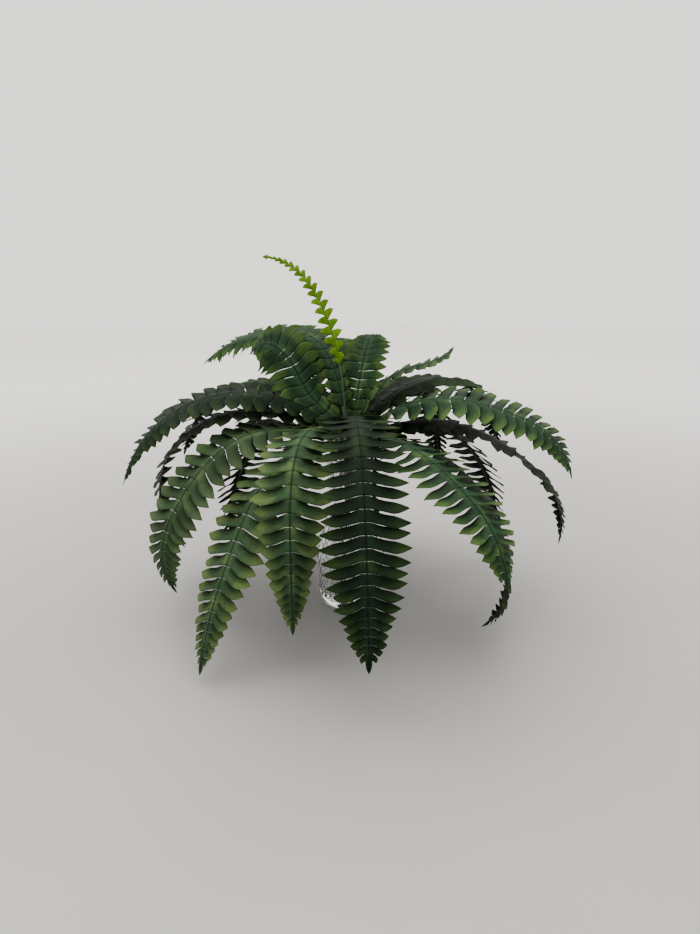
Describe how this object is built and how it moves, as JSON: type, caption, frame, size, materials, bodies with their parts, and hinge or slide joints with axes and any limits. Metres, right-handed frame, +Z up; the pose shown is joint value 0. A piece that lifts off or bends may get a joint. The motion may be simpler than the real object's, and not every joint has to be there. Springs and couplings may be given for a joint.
{
  "type": "potted fern",
  "caption": "Artificial Boston fern: arching fabric fronds on plastic stalks from one moulded crown, standing in a clear pressed-glass vase.",
  "frame": {"origin": "centre of the vase's flat foot, on the surface it stands on", "axes": "+Z up along the vase's axis, +X to the right-hand side, -Y to the front where the longest frond hangs down"},
  "size_m": [0.5612, 0.546, 0.4361],
  "materials": {
    "clear_glass": "clear pressed glass, polished, with a cut diamond pattern",
    "stem_plastic": "moulded green plastic, satin",
    "stalk_plastic": "moulded green plastic, satin",
    "fabric_dark": "dyed polyester leaf fabric, dark green, heat-pressed veins",
    "fabric_mid": "dyed polyester leaf fabric, mid green, heat-pressed veins",
    "fabric_light": "dyed polyester leaf fabric, yellow-green toward the leaflet ends",
    "fabric_grey": "dyed polyester leaf fabric, faded grey-green",
    "fabric_lime": "thin dyed polyester leaf fabric, bright lime, lets light through"
  },
  "bodies": {
    "root": {"vase": "clear_glass", "stem": "stem_plastic", "crown": "stem_plastic", "stalk_top_upright": "stalk_plastic", "blade_top_upright": "fabric_lime", "stalk_top_left": "stalk_plastic", "blade_top_left": "fabric_mid", "stalk_top_front_left": "stalk_plastic", "blade_top_front_left": "fabric_mid", "stalk_top_rear_left": "stalk_plastic", "blade_top_rear_left": "fabric_mid", "stalk_top_rear": "stalk_plastic", "blade_top_rear": "fabric_mid", "stalk_top_right": "stalk_plastic", "blade_top_right": "fabric_mid", "stalk_upper_right": "stalk_plastic", "blade_upper_right": "fabric_mid", "stalk_upper_right_rear": "stalk_plastic", "blade_upper_right_rear": "fabric_dark", "stalk_upper_rear_right": "stalk_plastic", "blade_upper_rear_right": "fabric_dark", "stalk_upper_rear_left": "stalk_plastic", "blade_upper_rear_left": "fabric_dark", "stalk_upper_left_rear": "stalk_plastic", "blade_upper_left_rear": "fabric_mid", "stalk_upper_left": "stalk_plastic", "blade_upper_left": "fabric_dark", "stalk_middle_right": "stalk_plastic", "blade_middle_right": "fabric_dark", "stalk_middle_front": "stalk_plastic", "blade_middle_front": "fabric_dark", "stalk_middle_front_left": "stalk_plastic", "blade_middle_front_left": "fabric_light", "stalk_middle_left_front": "stalk_plastic", "blade_middle_left_front": "fabric_grey", "stalk_middle_left": "stalk_plastic", "blade_middle_left": "fabric_dark", "stalk_middle_rear": "stalk_plastic", "blade_middle_rear": "fabric_dark", "stalk_lower_front_right": "stalk_plastic", "blade_lower_front_right": "fabric_mid", "stalk_lower_right_front": "stalk_plastic", "blade_lower_right_front": "fabric_dark", "stalk_lower_front_left": "stalk_plastic", "blade_lower_front_left": "fabric_light", "stalk_lower_left_rear": "stalk_plastic", "blade_lower_left_rear": "fabric_dark", "stalk_lower_rear_left": "stalk_plastic", "blade_lower_rear_left": "fabric_dark", "stalk_lower_rear": "stalk_plastic", "blade_lower_rear": "fabric_dark", "stalk_lower_rear_right": "stalk_plastic", "blade_lower_rear_right": "fabric_dark", "stalk_lower_right_rear": "stalk_plastic", "blade_lower_right_rear": "fabric_dark"}
  },
  "joints": []
}
